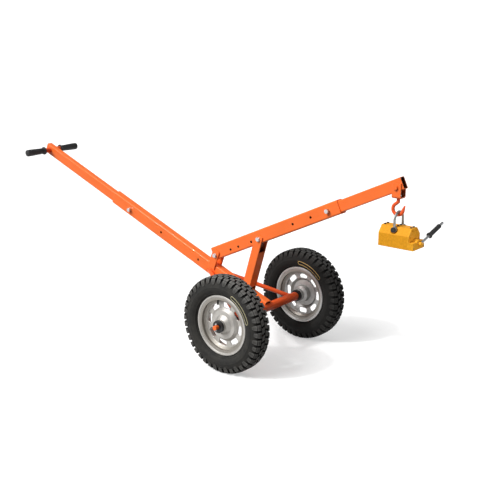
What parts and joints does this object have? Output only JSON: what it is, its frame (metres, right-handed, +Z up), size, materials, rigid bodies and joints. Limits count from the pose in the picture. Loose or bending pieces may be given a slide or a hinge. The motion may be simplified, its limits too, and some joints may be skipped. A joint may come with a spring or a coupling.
{
  "type": "manhole cover lifter",
  "caption": "Two-wheeled lever cart with telescopic T-bar handle, raised telescopic boom, swinging hook and a switchable lifting magnet for raising steel manhole covers.",
  "frame": {"origin": "on the floor under the middle of the axle, midway between the two tyres", "axes": "+X forward to the hook and magnet, +Y to the left wheel, +Z up"},
  "size_m": [2.2422, 0.708, 0.8892],
  "materials": {
    "orange_paint": "bright orange gloss paint",
    "red_paint": "red-orange gloss paint",
    "zinc": "bright zinc plate",
    "dark_steel": "blackened steel",
    "yellow_paint": "golden yellow gloss paint",
    "cast_yellow": "golden yellow paint over a cast face",
    "steel": "plain grey steel",
    "rim_steel": "satin silver pressed steel",
    "brass": "plain brass",
    "grip_rubber": "matt black rubber",
    "black_plastic": "matt black plastic",
    "tyre_rubber": "matt dark grey rubber"
  },
  "bodies": {
    "frame": {"spine_tube": "orange_paint", "axle_tube": "red_paint", "stub_left": "orange_paint", "stub_right": "orange_paint", "axle_washers": "dark_steel", "split_pins": "zinc", "brace_left": "red_paint", "brace_right": "red_paint", "ear_left": "orange_paint", "ear_right": "orange_paint", "boom_post": "orange_paint", "boom_outer": "orange_paint", "boom_bolts": "zinc", "boom_nuts": "zinc", "boom_washers": "zinc", "clamp_bolts": "zinc", "clamp_nuts": "zinc"},
    "handle": {"handle_tube": "orange_paint", "t_bar": "red_paint", "grip_left": "grip_rubber", "grip_right": "grip_rubber"},
    "boom_slide": {"boom_inner": "orange_paint", "tip_bolt": "orange_paint", "tip_nut": "zinc"},
    "hanger": {"hanger": "orange_paint"},
    "hook": {"hook": "red_paint", "hook_nut": "zinc", "hook_washer": "zinc"},
    "shackle": {"shackle": "steel"},
    "magnet": {"shackle_pin": "dark_steel", "magnet_body": "yellow_paint", "magnet_cover_front": "cast_yellow", "magnet_cover_rear": "cast_yellow", "lever_housing": "cast_yellow", "pole_strip": "brass", "ridge_screws": "dark_steel", "housing_screws": "dark_steel"},
    "lever": {"rotor": "steel", "lever_hub": "cast_yellow", "lever_rod": "zinc", "lever_guard": "grip_rubber", "lever_grip": "grip_rubber"},
    "wheel_left": {"tyre_left": "tyre_rubber", "rim_left": "rim_steel", "disc_left": "rim_steel", "hub_left": "rim_steel", "bearings_left": "steel", "hub_cap_left": "black_plastic", "hub_seal_left": "black_plastic", "valve_left": "tyre_rubber"},
    "wheel_right": {"tyre_right": "tyre_rubber", "rim_right": "rim_steel", "disc_right": "rim_steel", "hub_right": "rim_steel", "bearings_right": "steel", "hub_cap_right": "black_plastic", "hub_seal_right": "black_plastic", "valve_right": "tyre_rubber"}
  },
  "joints": [
    {"name": "wheel_left_spin", "type": "hinge", "parent": "frame", "child": "wheel_left", "pos_m": [0, 0.28, 0.214], "axis": [0, 1, 0], "continuous": true},
    {"name": "wheel_right_spin", "type": "hinge", "parent": "frame", "child": "wheel_right", "pos_m": [0, -0.28, 0.214], "axis": [0, 1, 0], "continuous": true},
    {"name": "handle_slide", "type": "slide", "parent": "frame", "child": "handle", "axis": [-0.9311, 0, 0.3649], "range_m": [-0.483, 0]},
    {"name": "boom_slide", "type": "slide", "parent": "frame", "child": "boom_slide", "axis": [0.9063, 0, 0.4226], "range_m": [-0.197, 0]},
    {"name": "hanger_swing", "type": "hinge", "parent": "boom_slide", "child": "hanger", "pos_m": [0.64597, 0, 0.84731], "axis": [0, 1, 0], "range_deg": [-50, 8]},
    {"name": "hook_swivel", "type": "hinge", "parent": "hanger", "child": "hook", "pos_m": [0.64897, 0, 0.75831], "axis": [0, 0, 1], "continuous": true},
    {"name": "shackle_swing", "type": "hinge", "parent": "hook", "child": "shackle", "pos_m": [0.65446, 0, 0.74978], "axis": [0, 1, 0], "range_deg": [-40, 40]},
    {"name": "magnet_tilt", "type": "hinge", "parent": "shackle", "child": "magnet", "pos_m": [0.65446, 0, 0.68278], "axis": [0, 1, 0], "range_deg": [-40, 40]},
    {"name": "lever_turn", "type": "hinge", "parent": "magnet", "child": "lever", "pos_m": [0.72596, 0, 0.63478], "axis": [1, 0, 0], "range_deg": [0, 146]}
  ]
}
